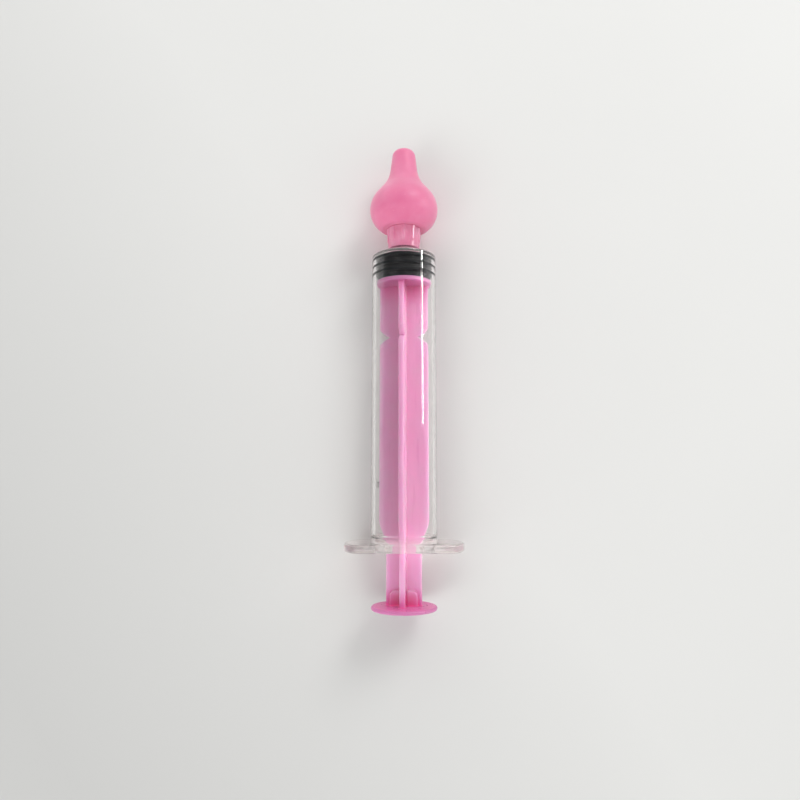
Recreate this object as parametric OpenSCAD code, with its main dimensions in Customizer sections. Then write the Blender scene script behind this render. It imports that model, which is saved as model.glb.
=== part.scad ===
// Syringe with a soft rinse nozzle: clear barrel, rubber gasket, plunger rod,
// ribbed hub that pushes onto the barrel's slip tip, and a silicone tip that turns on the hub.
// The syringe lies on its finger flange and its bulb: +Y runs towards the nozzle, +Z is up.
// Each piece is drawn upright along its own axis with z = 0 at the barrel's mouth, then laid down.

/* [Barrel] */
// Inside diameter of the tube
barrel_bore = 15.1; // [12:0.1:19]
// Wall of the tube
barrel_wall = 0.95; // [0.7:0.05:1.5]
// Length of the tube, from its mouth to the edge of its front wall
barrel_len = 77.1; // [60:0.1:100]
// Rise of the coned front wall, from the tube's edge to the foot of the slip tip
front_rise = 2.2; // [1.5:0.1:3]
// Thickness of the coned front wall
front_wall = 0.85; // [0.6:0.05:1.2]
// Radius of the small flat at the foot of the slip tip
foot_r = 3.7; // [3:0.1:4.5]
// Chamfer inside the mouth
mouth_chamfer = 0.4; // [0.2:0.1:0.6]
// Distance of the retaining bead from the mouth
bead_z = 3.65; // [3:0.05:5]
// Height of the retaining bead inside the tube
bead_h = 0.2; // [0.1:0.05:0.25]
// Half of the bead's width
bead_half_w = 0.5; // [0.3:0.1:0.8]

/* [Finger flange] */
// How far the flange's round ends stand out from the tube
grip_wing = 6.8; // [4:0.1:10]
// How far the flange's flats stand out from the tube
grip_lip = 0.7; // [0.3:0.1:3]
// Thickness of the flange
grip_t = 2.1; // [1.6:0.1:2.6]
// Rounding of the flange's four corners
grip_corner = 3.5; // [2:0.5:5]
// Fillet between the flange and the tube
grip_fillet = 0.6; // [0.3:0.1:1]

/* [Slip tip] */
// Diameter of the slip tip at its free end
luer_d = 3.97; // [3.93:0.01:3.99]
// Length of the slip tip beyond its foot
luer_len = 7.75; // [6.4:0.05:9.5]
// Change of diameter for each millimetre of a standard six per cent cone
luer_cone = 0.06; // [0.06:0.01:0.06]
// Diameter of the channel through the slip tip
channel_d = 2; // [1.6:0.1:2.1]

/* [Gasket] */
// Length of the gasket from its rear face to its front rib
gasket_len = 6.3; // [6:0.1:7.5]
// Depth of the grooves between the ribs
groove_depth = 0.75; // [0.4:0.05:0.9]
// Distance between ribs
rib_pitch = 2; // [1.6:0.1:2.2]
// Number of sealing ribs
rib_count = 3; // [2:1:3]
// Width of a rib where it touches the tube
rib_crest = 0.45; // [0.3:0.05:0.6]
// Width of a rib at its root
rib_root = 0.85; // [0.7:0.05:1]
// Thickness of the rear wall that the rod's neck passes through
gasket_rear_wall = 1.3; // [1:0.1:1.6]
// Radius of the flat at the end of the gasket's coned nose
nose_r = 2; // [1:0.1:3]
// Gap between the gasket's front and the front wall when pushed home
home_gap = 0.15; // [0.1:0.05:0.4]

/* [Plunger rod] */
// Diameter of the thumb disc
thumb_d = 16.8; // [14:0.1:18.4]
// Thickness of the thumb disc
thumb_t = 1; // [0.8:0.1:1.5]
// Clear distance between the thumb disc and the barrel's mouth when pushed home
thumb_gap = 13.65; // [9:0.05:18]
// Thickness of the crossed fins
fin_t = 1.4; // [1:0.1:1.8]
// Width across the fins where they leave the thumb disc
fin_w_narrow = 9.1; // [8:0.1:11]
// Gap on each side between the wide fins and the tube
fin_side_gap = 1.1; // [0.5:0.1:1.5]
// Length of the narrow part of the fins
narrow_len = 14.7; // [8:0.1:18]
// Length over which the fins widen
widen_len = 6.8; // [4:0.1:10]
// Distance of the notch's tip from the head disc
notch_from_head = 13.9; // [8:0.1:20]
// Half of the notch's length along the rod
notch_half_len = 2.2; // [1.5:0.1:3]
// Depth of the notch in each fin
notch_depth = 3.05; // [1:0.05:3.5]
// How far each side of the notch bulges
notch_bulge = 0.3; // [0.1:0.05:0.5]
// Thickness of the disc behind the gasket
head_disc_t = 1; // [0.8:0.1:2]
// Gap between the head disc and the tube
head_disc_gap = 0.3; // [0.2:0.05:0.6]
// Radius of the neck inside the gasket
neck_r = 2.8; // [2.4:0.1:3.2]
// Radius of the button that holds the gasket
button_r = 4.2; // [3.6:0.1:4.6]
// Length of the button
button_len = 2.4; // [2:0.1:2.8]
// Width of each strengthening pad at the foot of the fins
pad_w = 2.9; // [2:0.1:3.2]
// Height of the pads above the thumb disc
pad_len = 3.9; // [3:0.1:6]
// How far the pads stand out from a fin's face
pad_proud = 0.8; // [0.4:0.1:1.2]
// Turn of the rod about its own axis
rod_roll = -7; // [-45:1:45]

/* [Nozzle hub] */
// Length of the ribbed collar
hub_len = 5.6; // [5:0.1:8]
// Radius of the collar at its mouth
hub_mouth_r = 4.2; // [4.1:0.05:5]
// Radius of the collar at its top
hub_top_r = 4.45; // [4.4:0.05:5.2]
// Wall of the collar's skirt
hub_skirt_wall = 0.75; // [0.6:0.05:0.9]
// Gap between the collar's mouth and the barrel's front
hub_gap = 0.12; // [0.1:0.01:1]
// Number of grip ribs
hub_ribs = 10; // [6:1:14]
// Width of a grip rib
hub_rib_w = 0.9; // [0.5:0.1:1.2]
// Height of a grip rib
hub_rib_h = 0.22; // [0.1:0.02:0.4]
// Plain band below the grip ribs
hub_band = 1.4; // [0.8:0.1:2]
// Turn of the ribs about the axis
hub_turn = -3; // [-18:1:18]
// Diameter at the mouth of the tapered socket
socket_d = 4.29; // [4.27:0.01:4.31]
// Depth of the socket beyond the slip tip's end
socket_spare = 0.5; // [0.3:0.1:1]
// Wall around the tapered socket
socket_wall = 0.8; // [0.6:0.05:0.9]
// Thickness of the web between skirt and socket
hub_web = 1.2; // [0.8:0.1:1.6]
// Radius of the stem under the silicone tip
stem_r = 3.05; // [3:0.05:3.3]
// Length of the stem above the collar
stem_len = 4.6; // [4.4:0.1:6.5]
// Radius of the collar that snaps behind the tip's lip
snap_r = 3.65; // [3.4:0.05:3.8]
// Length of the snap collar
snap_len = 0.9; // [0.6:0.1:1.2]

/* [Silicone tip] */
// Length of the soft tip
tip_len = 22.7; // [18.9:0.1:28]
// Largest diameter of the bulb
bulb_d = 18.3; // [17:0.1:22]
// Height of the bulb's widest ring above its base
bulb_mid = 5.4; // [4.6:0.1:6.6]
// How much larger the radius of the curve below the widest ring is than that height
bulb_low_extra = 0.8; // [0.6:0.1:1.6]
// Radius of the curve above the widest ring
bulb_high_r = 7.3; // [6:0.1:8]
// Slope of the bulb's shoulder, in degrees from the axis
shoulder_angle = 40; // [34:1:46]
// Radius of the hollow curve from the shoulder into the neck
throat_r = 9.3; // [7:0.1:11]
// Slope of the neck, in degrees from the axis
neck_angle = 7; // [4:1:9]
// Radius of the neck at its end, before the end is rounded
tip_r = 2.95; // [2.6:0.05:3.4]
// Rounding of the tip's end
tip_round = 1.9; // [1.2:0.1:2.2]
// Rounding of the bulb's lower edge
base_round = 1.5; // [0.8:0.1:2]
// Thickness of the bulb's wall
tip_wall = 1.8; // [1.4:0.1:2.1]
// Thickness of the lip around the stem
lip_t = 1.6; // [1.4:0.1:2]
// Diameter of the outlet
outlet_d = 2.4; // [1.6:0.1:2.5]

/* [Printed scale] */
// Volume at the last long line, in millilitres
scale_ml = 10; // [5:1:10]
// Number of steps in each millilitre
steps_per_ml = 5; // [2:1:10]
// Width of a printed line
line_w = 0.3; // [0.2:0.05:0.4]
// Thickness of the ink
ink_t = 0.04; // [0.03:0.01:0.06]
// Length of a millilitre line around the tube, in degrees
long_arc = 30; // [20:1:40]
// Length of the short lines around the tube, in degrees
short_arc = 16; // [10:1:20]
// Turn of the scale from straight down to its baseline
scale_turn = -5; // [-30:1:30]

/* [Fits] */
// Radial gap of the gasket's ribs in the tube
rib_fit = 0.03; // [0.02:0.01:0.05]
// Gap around the rod's button and neck inside the gasket
button_fit = 0.06; // [0.03:0.01:0.1]
// Radial gap between the slip tip and the hub's socket
luer_fit = 0.02; // [0.01:0.01:0.03]
// Gap between the stem and the silicone tip
stem_fit = 0.05; // [0.03:0.01:0.1]
// Gap between faces that rest against each other
seat_gap = 0.05; // [0.03:0.01:0.1]

/* [Hidden] */
$fn = 96;
arc_steps = 10;
past = 1; // how far a cutting tool runs beyond what it cuts

bore_r = barrel_bore / 2;
barrel_r = bore_r + barrel_wall;
front_slope = front_rise / (barrel_r - foot_r);
inner_corner_z = barrel_len + barrel_wall * front_slope - front_wall * sqrt(1 + front_slope * front_slope);
foot_z = barrel_len + front_rise;
luer_end_z = foot_z + luer_len;
channel_r = channel_d / 2;
grip_w = 2 * (barrel_r + grip_wing);
grip_depth = 2 * (barrel_r + grip_lip);

gasket_front_z = inner_corner_z - home_gap;
gasket_rear_z = gasket_front_z - gasket_len;
rib_r = bore_r - rib_fit;
groove_r = rib_r - groove_depth;

head_top_z = gasket_rear_z - seat_gap;
head_disc_z = head_top_z - head_disc_t;
head_disc_r = bore_r - head_disc_gap;
thumb_top_z = -thumb_gap;
thumb_z = thumb_top_z - thumb_t;
fin_half_narrow = fin_w_narrow / 2;
fin_half_wide = bore_r - fin_side_gap;
notch_z = head_disc_z - notch_from_head;
notch_side = sqrt(notch_depth * notch_depth + notch_half_len * notch_half_len);
notch_arc_r = notch_side * notch_side / (8 * notch_bulge) + notch_bulge / 2;
button_z = gasket_rear_z + gasket_rear_wall + button_fit;

hub_mouth_z = foot_z + hub_gap;
hub_top_z = hub_mouth_z + hub_len;
socket_z = luer_end_z - (socket_d - 2 * luer_fit - luer_d) / luer_cone;
socket_end_z = luer_end_z + socket_spare;
socket_end_r = socket_d / 2 - (socket_end_z - socket_z) * luer_cone / 2;
stem_top_z = max(hub_top_z + stem_len, socket_end_z + hub_web);

tip_base_z = hub_top_z + seat_gap;
tip_end_z = tip_base_z + tip_len;
bulb_r = bulb_d / 2;
bulb_low_r = bulb_mid + bulb_low_extra;
lip_hole_r = stem_r + stem_fit;
outlet_r = outlet_d / 2;
// The shoulder line and the neck line are as long as they must be for the curves to meet.
shoulder_dr = bulb_r - bulb_high_r * (1 - cos(shoulder_angle))
    - throat_r * (cos(neck_angle) - cos(shoulder_angle)) - tip_r;
shoulder_dz = tip_len - bulb_mid - bulb_high_r * sin(shoulder_angle)
    - throat_r * (sin(shoulder_angle) - sin(neck_angle));
shoulder_line = (shoulder_dr * cos(neck_angle) - shoulder_dz * sin(neck_angle))
    / sin(shoulder_angle - neck_angle);
neck_line = (shoulder_dz * sin(shoulder_angle) - shoulder_dr * cos(shoulder_angle))
    / sin(shoulder_angle - neck_angle);

ml_len = 1000 / (PI * bore_r * bore_r);
middle_z = (thumb_z + tip_end_z) / 2;
rest_r = max(grip_depth, bulb_d, thumb_d) / 2;

// Points on an arc about [cx, cy]
function arc(cx, cy, r, from, to, steps = arc_steps) =
    [for (i = [0:steps]) let (a = from + (to - from) * i / steps) [cx + r * cos(a), cy + r * sin(a)]];

function mirrored(points) = [for (i = [len(points) - 1:-1:0]) [-points[i].x, points[i].y]];

// Lays an upright piece down along +Y, standing at the height of its widest rest
module laid() {
    translate([0, -middle_z, rest_r]) rotate([-90, 0, 0]) children();
}

// Flange outline: a circle cut by two flats, with rounded corners
function grip_corner_x() = sqrt(pow(grip_w / 2 - grip_corner, 2) - pow(grip_depth / 2 - grip_corner, 2));
function grip_side() =
    let (cx = grip_corner_x(), cy = grip_depth / 2 - grip_corner, turn = atan2(cy, cx))
    concat(
        arc(cx, -cy, grip_corner, -90, -turn),
        arc(0, 0, grip_w / 2, -turn, turn),
        arc(cx, cy, grip_corner, turn, 90)
    );

module grip_plate() {
    linear_extrude(grip_t) polygon(concat(grip_side(), mirrored(grip_side())));
}

module barrel_outside() {
    luer_foot_r = luer_d / 2 + luer_len * luer_cone / 2;
    tip_edge = 0.2;
    rotate_extrude() polygon(concat(
        [[0, 0], [barrel_r, 0], [barrel_r + grip_fillet, grip_t]],
        arc(barrel_r + grip_fillet, grip_t + grip_fillet, grip_fillet, 270, 180),
        [[barrel_r, barrel_len], [foot_r, foot_z], [luer_foot_r, foot_z],
         [luer_d / 2, luer_end_z - tip_edge], [luer_d / 2 - tip_edge, luer_end_z], [0, luer_end_z]]
    ));
}

module barrel_inside() {
    cone_top_z = inner_corner_z + (bore_r - channel_r) * front_slope;
    rotate_extrude() polygon([
        [0, -past], [bore_r + mouth_chamfer, -past], [bore_r + mouth_chamfer, 0],
        [bore_r, mouth_chamfer], [bore_r, bead_z - bead_half_w], [bore_r - bead_h, bead_z],
        [bore_r, bead_z + bead_half_w], [bore_r, inner_corner_z],
        [channel_r, cone_top_z], [channel_r, luer_end_z + past], [0, luer_end_z + past]
    ]);
}

module barrel() {
    color([0.86, 0.87, 0.86, 0.35]) laid() difference() {
        union() {
            barrel_outside();
            grip_plate();
        }
        barrel_inside();
    }
}

// One printed line: a thin band of ink around part of the tube
module scale_line(z, sweep) {
    translate([0, 0, z - line_w / 2]) rotate([0, 0, 90 + scale_turn])
        rotate_extrude(angle = sweep) translate([barrel_r, 0]) square([ink_t, line_w]);
}

module scale_print() {
    color([0.12, 0.12, 0.13]) laid()
        for (i = [0:scale_ml * steps_per_ml])
            scale_line(gasket_front_z - i * ml_len / steps_per_ml,
                i % steps_per_ml == 0 ? long_arc : short_arc);
}

// Outline of one sealing rib, at the height of its middle
function rib_points(z) = [
    [groove_r, z - rib_root / 2], [rib_r, z - rib_crest / 2],
    [rib_r, z + rib_crest / 2], [groove_r, z + rib_root / 2]
];

module gasket() {
    top_rib_z = gasket_front_z - rib_root / 2;
    nose_z = gasket_front_z + (groove_r - nose_r) * front_slope;
    pocket_r = button_r + button_fit;
    pocket_top_z = button_z + button_len + button_fit;
    color([0.13, 0.14, 0.15]) laid() difference() {
        rotate_extrude() polygon(concat(
            [[0, gasket_rear_z], [groove_r, gasket_rear_z]],
            [for (i = [rib_count - 1:-1:0]) each rib_points(top_rib_z - i * rib_pitch)],
            [[nose_r, nose_z], [0, nose_z]]
        ));
        rotate_extrude() polygon([
            [0, gasket_rear_z - past], [neck_r + button_fit, gasket_rear_z - past],
            [neck_r + button_fit, button_z - button_fit], [pocket_r, button_z - button_fit],
            [pocket_r, pocket_top_z], [0, pocket_top_z]
        ]);
    }
}

// Edge of one fin: narrow at the foot, widening smoothly, with a notch near the head whose
// two sides are shallow arcs that meet at its tip
function fin_edge() =
    let (
        widen_z = thumb_top_z + narrow_len,
        inwards = (notch_arc_r - notch_bulge) / notch_side,
        cx = fin_half_wide - notch_depth / 2 - inwards * notch_half_len,
        cz = -notch_half_len / 2 - inwards * notch_depth,
        low_angle = asin((-notch_half_len - cz) / notch_arc_r),
        high_angle = asin(-cz / notch_arc_r)
    )
    concat(
        [[fin_half_narrow, thumb_z + thumb_t / 2]],
        [for (i = [0:arc_steps]) let (t = i / arc_steps)
            [fin_half_narrow + (fin_half_wide - fin_half_narrow) * (1 - cos(180 * t)) / 2,
             widen_z + widen_len * t]],
        arc(cx, notch_z + cz, notch_arc_r, low_angle, high_angle),
        arc(cx, notch_z - cz, notch_arc_r, -high_angle, -low_angle),
        [[fin_half_wide, head_disc_z + head_disc_t / 2]]
    );

// A flat plate along the rod's axis, drawn by its outline and centred on the axis
module axial_plate(points, thickness) {
    rotate([90, 0, 0]) linear_extrude(thickness, center = true) polygon(points);
}

// Strengthening pads beside the crossing fin, with round tops
module root_pads() {
    round_r = pad_w / 2;
    for (side = [-1, 1])
        translate([side * (fin_t / 2 + round_r), 0, 0])
            axial_plate(concat(
                [[-round_r, thumb_z + thumb_t / 2], [round_r, thumb_z + thumb_t / 2]],
                arc(0, thumb_top_z + pad_len - round_r, round_r, 0, 180)
            ), fin_t + 2 * pad_proud);
}

module thumb_disc() {
    rim_r = thumb_t / 2;
    rotate_extrude() polygon(concat(
        [[0, thumb_z]],
        arc(thumb_d / 2 - rim_r, thumb_z + rim_r, rim_r, -90, 90),
        [[0, thumb_top_z]]
    ));
}

module rod_head() {
    chamfer = 0.7;
    button_top_z = button_z + button_len;
    rotate_extrude() polygon([
        [0, head_disc_z], [head_disc_r, head_disc_z], [head_disc_r, head_top_z],
        [neck_r, head_top_z], [neck_r, button_z], [button_r, button_z],
        [button_r, button_top_z - chamfer], [button_r - chamfer, button_top_z], [0, button_top_z]
    ]);
}

module plunger_rod() {
    color([0.88, 0.52, 0.7]) laid() rotate([0, 0, rod_roll]) {
        thumb_disc();
        rod_head();
        for (turn = [0, 90])
            rotate([0, 0, turn]) axial_plate(concat(fin_edge(), mirrored(fin_edge())), fin_t);
        root_pads();
    }
}

module hub_outside() {
    chamfer = 0.45;
    snap_z = tip_base_z + lip_t + seat_gap;
    rotate_extrude() polygon([
        [0, hub_mouth_z], [hub_mouth_r, hub_mouth_z], [hub_top_r, hub_top_z], [stem_r, hub_top_z],
        [stem_r, snap_z], [snap_r, snap_z], [snap_r, snap_z + snap_len - chamfer],
        [stem_r, snap_z + snap_len], [stem_r, stem_top_z - chamfer],
        [stem_r - chamfer, stem_top_z], [0, stem_top_z]
    ]);
}

// Hollow under the collar, tapered socket for the slip tip, and the channel beyond it
module hub_inside() {
    socket_tube_r = socket_d / 2 + socket_wall;
    rotate_extrude() polygon([
        [0, hub_mouth_z - past], [hub_mouth_r - hub_skirt_wall, hub_mouth_z - past],
        [hub_mouth_r - hub_skirt_wall, hub_top_z - hub_web], [socket_tube_r, hub_top_z - hub_web],
        [socket_tube_r, socket_z], [socket_d / 2, socket_z], [socket_end_r, socket_end_z],
        [channel_r, socket_end_z], [channel_r, stem_top_z + past], [0, stem_top_z + past]
    ]);
}

module hub_rib() {
    root = 0.6; // how deep a rib starts inside the collar
    low_r = hub_mouth_r + (hub_top_r - hub_mouth_r) * hub_band / hub_len;
    translate([0, hub_rib_w / 2, 0]) rotate([90, 0, 0]) linear_extrude(hub_rib_w) polygon([
        [low_r - root, hub_mouth_z + hub_band], [low_r + hub_rib_h, hub_mouth_z + hub_band],
        [hub_top_r + hub_rib_h, hub_top_z], [hub_top_r - root, hub_top_z]
    ]);
}

module nozzle_hub() {
    color([0.93, 0.55, 0.7]) laid() rotate([0, 0, hub_turn - 90]) difference() {
        union() {
            hub_outside();
            for (i = [0:hub_ribs - 1]) rotate([0, 0, i * 360 / hub_ribs]) hub_rib();
        }
        hub_inside();
    }
}

// The bulb's side from below its widest ring to the start of the neck, set in by a given depth
function bulb_side(inset, low_angle) =
    let (
        mid_z = tip_base_z + bulb_mid,
        c = cos(shoulder_angle),
        s = sin(shoulder_angle),
        high_x = bulb_r - bulb_high_r,
        throat_x = high_x + (bulb_high_r + throat_r) * c - shoulder_line * s,
        throat_z = mid_z + (bulb_high_r + throat_r) * s + shoulder_line * c
    )
    concat(
        arc(bulb_r - bulb_low_r, mid_z, bulb_low_r - inset, -low_angle, 0),
        arc(high_x, mid_z, bulb_high_r - inset, 0, shoulder_angle),
        arc(throat_x, throat_z, throat_r + inset, 180 + shoulder_angle, 180 + neck_angle)
    );

module tip_outside() {
    base_sin = (bulb_mid - base_round) / (bulb_low_r - base_round);
    base_angle = asin(base_sin);
    base_x = bulb_r - bulb_low_r + (bulb_low_r - base_round) * cos(base_angle);
    end_r = min(tip_round, neck_line * cos(neck_angle) / (1 - sin(neck_angle)));
    end_x = tip_r - end_r / cos(neck_angle) + end_r * tan(neck_angle);
    rotate_extrude() polygon(concat(
        [[0, tip_base_z]],
        arc(base_x, tip_base_z + base_round, base_round, -90, -base_angle),
        bulb_side(0, base_angle),
        arc(end_x, tip_end_z - end_r, end_r, neck_angle, 90),
        [[0, tip_end_z]]
    ));
}

module tip_inside() {
    floor_z = tip_base_z + lip_t;
    low_angle = asin((bulb_mid - lip_t) / (bulb_low_r - tip_wall));
    side = bulb_side(tip_wall, low_angle);
    roof = side[len(side) - 1];
    rotate_extrude() polygon(concat(
        [[0, tip_base_z - past], [lip_hole_r, tip_base_z - past], [lip_hole_r, floor_z]],
        side,
        [[outlet_r, roof.y + roof.x - outlet_r], [outlet_r, tip_end_z + past], [0, tip_end_z + past]]
    ));
}

module silicone_tip() {
    color([0.9, 0.43, 0.61]) laid() difference() {
        tip_outside();
        tip_inside();
    }
}

barrel();
scale_print();
gasket();
plunger_rod();
nozzle_hub();
silicone_tip();
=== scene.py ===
import math

import bmesh
import bpy
import numpy as np
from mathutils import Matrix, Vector


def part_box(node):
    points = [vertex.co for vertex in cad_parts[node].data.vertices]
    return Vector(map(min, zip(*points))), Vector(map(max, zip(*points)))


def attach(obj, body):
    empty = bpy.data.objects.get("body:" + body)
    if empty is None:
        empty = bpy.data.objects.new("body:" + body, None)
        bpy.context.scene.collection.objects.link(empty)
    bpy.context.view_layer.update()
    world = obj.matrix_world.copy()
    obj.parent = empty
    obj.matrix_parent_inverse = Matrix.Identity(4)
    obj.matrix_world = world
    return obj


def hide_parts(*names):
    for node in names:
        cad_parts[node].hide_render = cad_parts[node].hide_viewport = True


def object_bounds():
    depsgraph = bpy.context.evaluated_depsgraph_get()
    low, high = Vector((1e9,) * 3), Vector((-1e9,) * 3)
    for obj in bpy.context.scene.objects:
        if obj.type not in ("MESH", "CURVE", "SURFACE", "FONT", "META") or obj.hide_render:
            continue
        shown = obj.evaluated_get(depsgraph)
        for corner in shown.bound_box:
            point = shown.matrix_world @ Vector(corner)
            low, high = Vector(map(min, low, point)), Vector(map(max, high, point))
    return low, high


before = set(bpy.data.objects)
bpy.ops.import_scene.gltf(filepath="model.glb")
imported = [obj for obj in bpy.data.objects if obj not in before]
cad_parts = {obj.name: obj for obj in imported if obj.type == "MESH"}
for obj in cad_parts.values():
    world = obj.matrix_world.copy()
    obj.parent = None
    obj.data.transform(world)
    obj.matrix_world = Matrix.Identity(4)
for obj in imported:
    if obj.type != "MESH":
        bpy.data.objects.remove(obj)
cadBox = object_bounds()
print("frame loaded:", sorted(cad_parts))

# Every size below is in millimetres. A station is a distance along the syringe from the barrel's mouth,
# positive towards the nozzle, and a height is measured from the syringe's own axis.
millimetre = 0.001
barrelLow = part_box("barrel")[0]
gasketLow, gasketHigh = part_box("gasket")
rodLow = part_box("plunger_rod")[0]
hubLow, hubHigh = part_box("nozzle_hub")
tipLow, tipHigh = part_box("silicone_tip")
mouthPlace = np.array([0.0, barrelLow.y, (gasketLow.z + gasketHigh.z) / 2])


def stationOf(y):
    # the distance from the mouth along the syringe, from metres in the frame to millimetres
    return (y - mouthPlace[1]) / millimetre


def inFrame(x, station, height):
    # a point: across, along and above the axis in millimetres, scaled to metres and moved to the mouth
    x, station, height = np.broadcast_arrays(x, station, height)
    return np.stack([x, station, height], -1) * millimetre + mouthPlace


def meshFromFaces(name, points, faces, material, smoothAngle=32):
    # puts arrays into a mesh and turns the faces outwards: the volume under them, the sum of
    # a . (b x c) / 6 over the triangle fans, has to come out positive
    faces = [np.asarray(f, np.int64) for f in faces if len(f)]
    volume = sum(float(np.einsum("ij,ij->", points[f[:, 0]],
                                 np.cross(points[f[:, k]], points[f[:, k + 1]])))
                 for f in faces for k in range(1, f.shape[1] - 1))
    if volume < 0:
        faces = [f[:, ::-1] for f in faces]
    corners = np.concatenate([f.ravel() for f in faces])
    totals = np.concatenate([np.full(len(f), f.shape[1]) for f in faces])
    starts = np.concatenate([[0], np.cumsum(totals)[:-1]])
    mesh = bpy.data.meshes.new(name)
    mesh.vertices.add(len(points))
    mesh.vertices.foreach_set("co", points.astype(np.float32).ravel())
    mesh.loops.add(len(corners))
    mesh.loops.foreach_set("vertex_index", corners.astype(np.int32))
    mesh.polygons.add(len(totals))
    mesh.polygons.foreach_set("loop_start", starts.astype(np.int32))
    mesh.polygons.foreach_set("loop_total", totals.astype(np.int32))
    mesh.polygons.foreach_set("use_smooth", np.ones(len(totals), bool))
    mesh.update(calc_edges=True)
    mesh.validate()
    mesh.set_sharp_from_angle(angle=math.radians(smoothAngle))
    mesh.materials.append(material)
    piece = bpy.data.objects.new(name, mesh)
    bpy.context.scene.collection.objects.link(piece)
    return piece


def meshFromGrid(name, grid, material, wrapped=False, smoothAngle=32):
    # grid[row, column] are points: columns close round the axis. The rows close into a ring too
    # when the piece has a hole right through it, or else each end row shrinks to one middle point
    rows, columns = grid.shape[:2]
    index = np.arange(rows * columns).reshape(rows, columns)
    lower = index if wrapped else index[:-1]
    upper = np.roll(index, -1, 0) if wrapped else index[1:]
    quads = np.stack([lower, np.roll(lower, -1, 1), np.roll(upper, -1, 1), upper], -1).reshape(-1, 4)
    points, faces = grid.reshape(-1, 3), [quads]
    if not wrapped:
        first, last = rows * columns, rows * columns + 1
        points = np.concatenate([points, grid[0].mean(0)[None], grid[-1].mean(0)[None]])
        faces.append(np.stack([np.full(columns, first), np.roll(index[0], -1), index[0]], -1))
        faces.append(np.stack([np.full(columns, last), index[-1], np.roll(index[-1], -1)], -1))
    return meshFromFaces(name, points, faces, material, smoothAngle)


def roundedLine(corners, steps=5):
    # corners are (radius, station, rounding). A rounded corner becomes the arc that touches both its
    # sides, made of directions turned evenly from one touching point to the other. Long sides get
    # a point close to each end, so that shading stays flat along them
    corners = [np.array(c, float) for c in corners]
    line = [corners[0][:2]]
    for before, corner, after in zip(corners, corners[1:], corners[2:]):
        if corner[2] <= 0:
            line.append(corner[:2])
            continue
        back = before[:2] - corner[:2]
        ahead = after[:2] - corner[:2]
        back, ahead = back / np.linalg.norm(back), ahead / np.linalg.norm(ahead)
        half = math.acos(float(np.clip(back @ ahead, -1, 1))) / 2
        middle = back + ahead
        middle = middle / np.linalg.norm(middle)
        centre = corner[:2] + middle * corner[2] / math.sin(half)
        reach = corner[2] / math.tan(half)
        fromHere = (corner[:2] + back * reach - centre) / corner[2]
        toHere = (corner[:2] + ahead * reach - centre) / corner[2]
        sweep = math.pi - 2 * half
        t = np.linspace(0, 1, steps + 1)[:, None]
        turned = (np.sin((1 - t) * sweep) * fromHere + np.sin(t * sweep) * toHere) / math.sin(sweep)
        line.extend(centre + corner[2] * turned)
    line.append(corners[-1][:2])
    longSide, endGap = 0.6, 0.08
    full = [line[0]]
    for a, b in zip(line, line[1:]):
        length = np.linalg.norm(b - a)
        if length > longSide:
            full.append(a + (b - a) * endGap / length)
            full.append(b - (b - a) * endGap / length)
        full.append(b)
    return np.array(full)


def arcLine(centreRadius, centreStation, radius, fromAngle, toAngle, steps):
    # centre + radius * (cos, sin), angles in degrees from straight outwards towards the nozzle
    angle = np.radians(np.linspace(fromAngle, toAngle, steps))
    return np.stack([centreRadius + radius * np.cos(angle), centreStation + radius * np.sin(angle)], -1)


def turnedGrid(line, columns):
    # a profile (radius, station) turned round the axis: x = r cos(angle), height = r sin(angle)
    angle = np.linspace(0, 2 * math.pi, columns, endpoint=False)
    radius, station = line[:, :1], line[:, 1:]
    return inFrame(radius * np.cos(angle), station, radius * np.sin(angle))


def smoothStep(t):
    # 3 t^2 - 2 t^3, held at 0 below t = 0 and at 1 above t = 1
    t = np.clip(t, 0, 1)
    return t * t * (3 - 2 * t)


# Materials. All patterns sit on Object coordinates, which are metres here.

def startMaterial(name, colour, roughness, settings=None):
    # settings holds the numbers that are the same all over the surface, by the shader's socket names
    material = bpy.data.materials.new(name)
    material.use_nodes = True
    material.diffuse_color = (*colour, 1)
    shader = material.node_tree.nodes["Principled BSDF"]
    shader.inputs["Base Color"].default_value = (*colour, 1)
    shader.inputs["Roughness"].default_value = roughness
    for socket, value in (settings or {}).items():
        shader.inputs[socket].default_value = value
    return material, shader


def noiseOn(material, pitch, detail=3.0, stretch=(1, 1, 1), warp=0.0):
    # noise whose lumps are about pitch millimetres across, drawn out along an axis by stretch
    nodes, links = material.node_tree.nodes, material.node_tree.links
    place = nodes.new("ShaderNodeTexCoord")
    spread = nodes.new("ShaderNodeMapping")
    spread.inputs["Scale"].default_value = tuple(1 / (pitch * millimetre * s) for s in stretch)
    noise = nodes.new("ShaderNodeTexNoise")
    noise.inputs["Scale"].default_value = 1
    noise.inputs["Detail"].default_value = detail
    noise.inputs["Distortion"].default_value = warp
    links.new(place.outputs["Object"], spread.inputs["Vector"])
    links.new(spread.outputs["Vector"], noise.inputs["Vector"])
    return noise.outputs["Fac"]


def remapped(material, source, low, high, toLow, toHigh):
    # a straight line from (low, toLow) to (high, toHigh), held level outside
    nodes, links = material.node_tree.nodes, material.node_tree.links
    ranged = nodes.new("ShaderNodeMapRange")
    for socket, value in zip(("From Min", "From Max", "To Min", "To Max"), (low, high, toLow, toHigh)):
        ranged.inputs[socket].default_value = value
    links.new(source, ranged.inputs["Value"])
    return ranged.outputs["Result"]


def mixedColour(material, factor, first, second):
    # first and second are colours or sockets that give one
    nodes, links = material.node_tree.nodes, material.node_tree.links
    mix = nodes.new("ShaderNodeMix")
    mix.data_type = "RGBA"
    links.new(factor, mix.inputs["Factor"])
    for socket, value in ((mix.inputs[6], first), (mix.inputs[7], second)):
        if isinstance(value, tuple):
            socket.default_value = (*value, 1)
        else:
            links.new(value, socket)
    return mix.outputs[2]


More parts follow.
